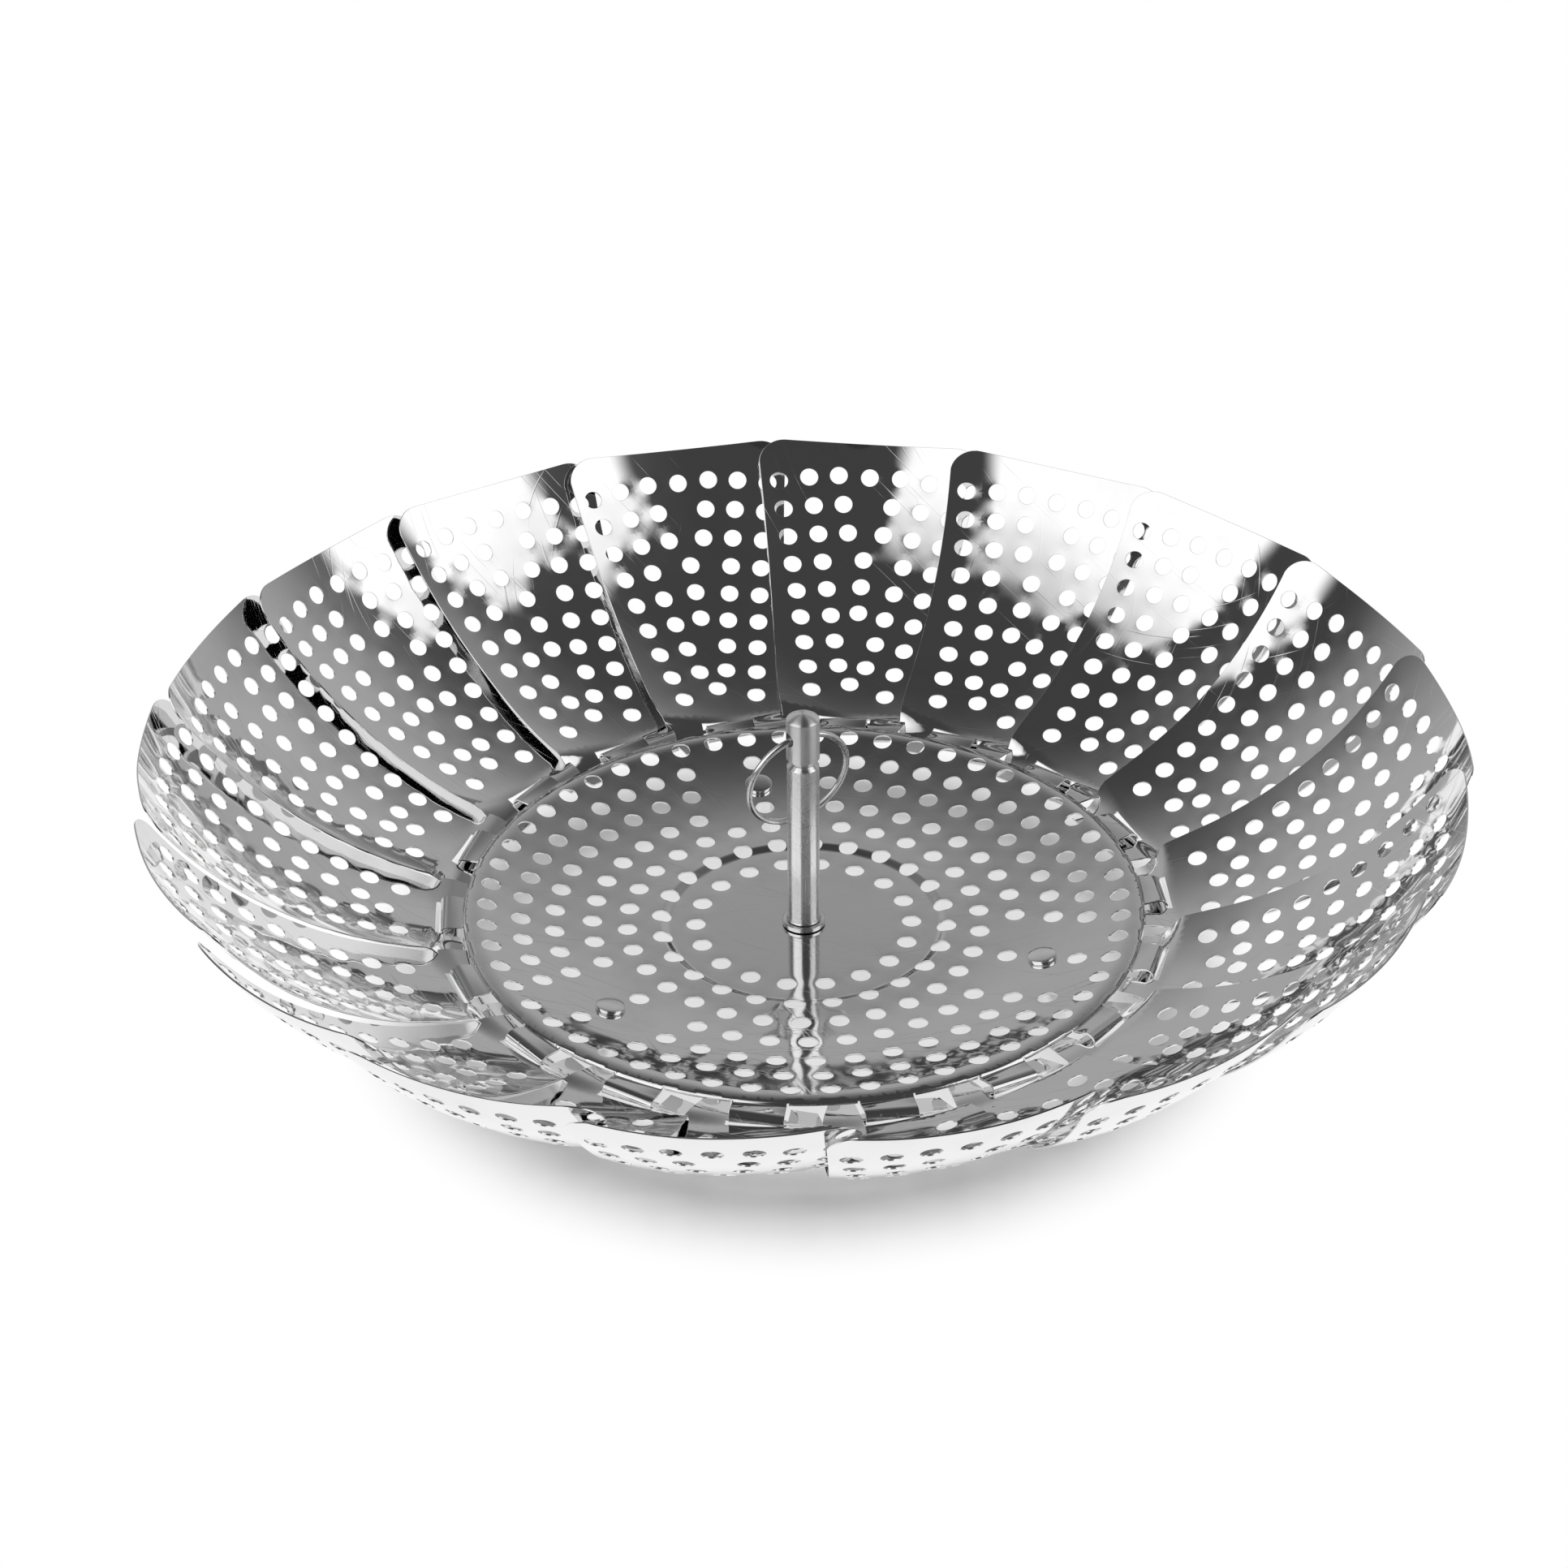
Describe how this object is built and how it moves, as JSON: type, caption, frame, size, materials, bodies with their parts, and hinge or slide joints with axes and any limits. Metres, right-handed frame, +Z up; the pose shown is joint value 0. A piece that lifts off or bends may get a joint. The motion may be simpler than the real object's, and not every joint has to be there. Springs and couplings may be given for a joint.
{
  "type": "folding steamer basket",
  "caption": "Perforated steel steamer basket: a dished plate on feet, ringed by overlapping petals that fold inwards, with a telescoping centre post and a wire pull ring.",
  "frame": {"origin": "on the basket's axis, on the surface that the feet stand on", "axes": "+Z up along the centre post; +X and +Y horizontal"},
  "size_m": [0.2824, 0.282, 0.0674],
  "materials": {
    "plate_steel": "polished, lightly scratched",
    "petal_steel": "mirror polished, lightly scratched",
    "foot_steel": "satin",
    "post_steel": "satin",
    "handle_steel": "satin",
    "ring_steel": "polished wire"
  },
  "bodies": {
    "plate": {"base_plate": "plate_steel", "foot_1": "foot_steel", "foot_2": "foot_steel", "foot_3": "foot_steel", "post_washer": "post_steel", "post_tube": "post_steel", "post_nut": "post_steel"},
    "petal_01": {"petal_01": "petal_steel"},
    "petal_02": {"petal_02": "petal_steel"},
    "petal_03": {"petal_03": "petal_steel"},
    "petal_04": {"petal_04": "petal_steel"},
    "petal_05": {"petal_05": "petal_steel"},
    "petal_06": {"petal_06": "petal_steel"},
    "petal_07": {"petal_07": "petal_steel"},
    "petal_08": {"petal_08": "petal_steel"},
    "petal_09": {"petal_09": "petal_steel"},
    "petal_10": {"petal_10": "petal_steel"},
    "petal_11": {"petal_11": "petal_steel"},
    "petal_12": {"petal_12": "petal_steel"},
    "petal_13": {"petal_13": "petal_steel"},
    "petal_14": {"petal_14": "petal_steel"},
    "petal_15": {"petal_15": "petal_steel"},
    "petal_16": {"petal_16": "petal_steel"},
    "petal_17": {"petal_17": "petal_steel"},
    "petal_18": {"petal_18": "petal_steel"},
    "handle": {"handle_rod": "handle_steel"},
    "ring": {"pull_ring": "ring_steel"}
  },
  "joints": [
    {"name": "fold_01", "type": "hinge", "parent": "plate", "child": "petal_01", "pos_m": [0.0777, 0.00394, 0.01791], "axis": [0.0504, -0.9949, 0.0872], "range_deg": [0, 95]},
    {"name": "fold_02", "type": "hinge", "parent": "plate", "child": "petal_02", "pos_m": [0.07167, 0.03027, 0.01791], "axis": [0.3876, -0.9177, 0.0872], "range_deg": [0, 95]},
    {"name": "fold_03", "type": "hinge", "parent": "plate", "child": "petal_03", "pos_m": [0.05699, 0.05296, 0.01791], "axis": [0.6781, -0.7298, 0.0872], "range_deg": [0, 95]},
    {"name": "fold_04", "type": "hinge", "parent": "plate", "child": "petal_04", "pos_m": [0.03544, 0.06926, 0.01791], "axis": [0.8868, -0.4538, 0.0872], "range_deg": [0, 95]},
    {"name": "fold_05", "type": "hinge", "parent": "plate", "child": "petal_05", "pos_m": [0.00962, 0.0772, 0.01791], "axis": [0.9886, -0.1231, 0.0872], "range_deg": [0, 95]},
    {"name": "fold_06", "type": "hinge", "parent": "plate", "child": "petal_06", "pos_m": [-0.01737, 0.07584, 0.01791], "axis": [0.9711, 0.2224, 0.0872], "range_deg": [0, 95]},
    {"name": "fold_07", "type": "hinge", "parent": "plate", "child": "petal_07", "pos_m": [-0.04226, 0.06532, 0.01791], "axis": [0.8364, 0.5411, 0.0872], "range_deg": [0, 95]},
    {"name": "fold_08", "type": "hinge", "parent": "plate", "child": "petal_08", "pos_m": [-0.06205, 0.04693, 0.01791], "axis": [0.6009, 0.7945, 0.0872], "range_deg": [0, 95]},
    {"name": "fold_09", "type": "hinge", "parent": "plate", "child": "petal_09", "pos_m": [-0.07436, 0.02288, 0.01791], "axis": [0.2929, 0.9522, 0.0872], "range_deg": [0, 95]},
    {"name": "fold_10", "type": "hinge", "parent": "plate", "child": "petal_10", "pos_m": [-0.0777, -0.00394, 0.01791], "axis": [-0.0504, 0.9949, 0.0872], "range_deg": [0, 95]},
    {"name": "fold_11", "type": "hinge", "parent": "plate", "child": "petal_11", "pos_m": [-0.07167, -0.03027, 0.01791], "axis": [-0.3876, 0.9177, 0.0872], "range_deg": [0, 95]},
    {"name": "fold_12", "type": "hinge", "parent": "plate", "child": "petal_12", "pos_m": [-0.05699, -0.05296, 0.01791], "axis": [-0.6781, 0.7298, 0.0872], "range_deg": [0, 95]},
    {"name": "fold_13", "type": "hinge", "parent": "plate", "child": "petal_13", "pos_m": [-0.03544, -0.06926, 0.01791], "axis": [-0.8868, 0.4538, 0.0872], "range_deg": [0, 95]},
    {"name": "fold_14", "type": "hinge", "parent": "plate", "child": "petal_14", "pos_m": [-0.00962, -0.0772, 0.01791], "axis": [-0.9886, 0.1231, 0.0872], "range_deg": [0, 95]},
    {"name": "fold_15", "type": "hinge", "parent": "plate", "child": "petal_15", "pos_m": [0.01737, -0.07584, 0.01791], "axis": [-0.9711, -0.2224, 0.0872], "range_deg": [0, 95]},
    {"name": "fold_16", "type": "hinge", "parent": "plate", "child": "petal_16", "pos_m": [0.04226, -0.06532, 0.01791], "axis": [-0.8364, -0.5411, 0.0872], "range_deg": [0, 95]},
    {"name": "fold_17", "type": "hinge", "parent": "plate", "child": "petal_17", "pos_m": [0.06205, -0.04693, 0.01791], "axis": [-0.6009, -0.7945, 0.0872], "range_deg": [0, 95]},
    {"name": "fold_18", "type": "hinge", "parent": "plate", "child": "petal_18", "pos_m": [0.07436, -0.02288, 0.01791], "axis": [-0.2929, -0.9522, 0.0872], "range_deg": [0, 95]},
    {"name": "handle_slide", "type": "slide", "parent": "plate", "child": "handle", "axis": [0, 0, 1], "range_m": [0, 0.028]},
    {"name": "ring_swing", "type": "hinge", "parent": "handle", "child": "ring", "pos_m": [0, 0, 0.0618], "axis": [0.8746, 0.4848, 0], "range_deg": [0, 336]}
  ],
  "couplings": [
    {"joint": "fold_02", "follows": "fold_01", "ratio": 1},
    {"joint": "fold_03", "follows": "fold_01", "ratio": 1},
    {"joint": "fold_04", "follows": "fold_01", "ratio": 1},
    {"joint": "fold_05", "follows": "fold_01", "ratio": 1},
    {"joint": "fold_06", "follows": "fold_01", "ratio": 1},
    {"joint": "fold_07", "follows": "fold_01", "ratio": 1},
    {"joint": "fold_08", "follows": "fold_01", "ratio": 1},
    {"joint": "fold_09", "follows": "fold_01", "ratio": 1},
    {"joint": "fold_10", "follows": "fold_01", "ratio": 1},
    {"joint": "fold_11", "follows": "fold_01", "ratio": 1},
    {"joint": "fold_12", "follows": "fold_01", "ratio": 1},
    {"joint": "fold_13", "follows": "fold_01", "ratio": 1},
    {"joint": "fold_14", "follows": "fold_01", "ratio": 1},
    {"joint": "fold_15", "follows": "fold_01", "ratio": 1},
    {"joint": "fold_16", "follows": "fold_01", "ratio": 1},
    {"joint": "fold_17", "follows": "fold_01", "ratio": 1},
    {"joint": "fold_18", "follows": "fold_01", "ratio": 1}
  ]
}
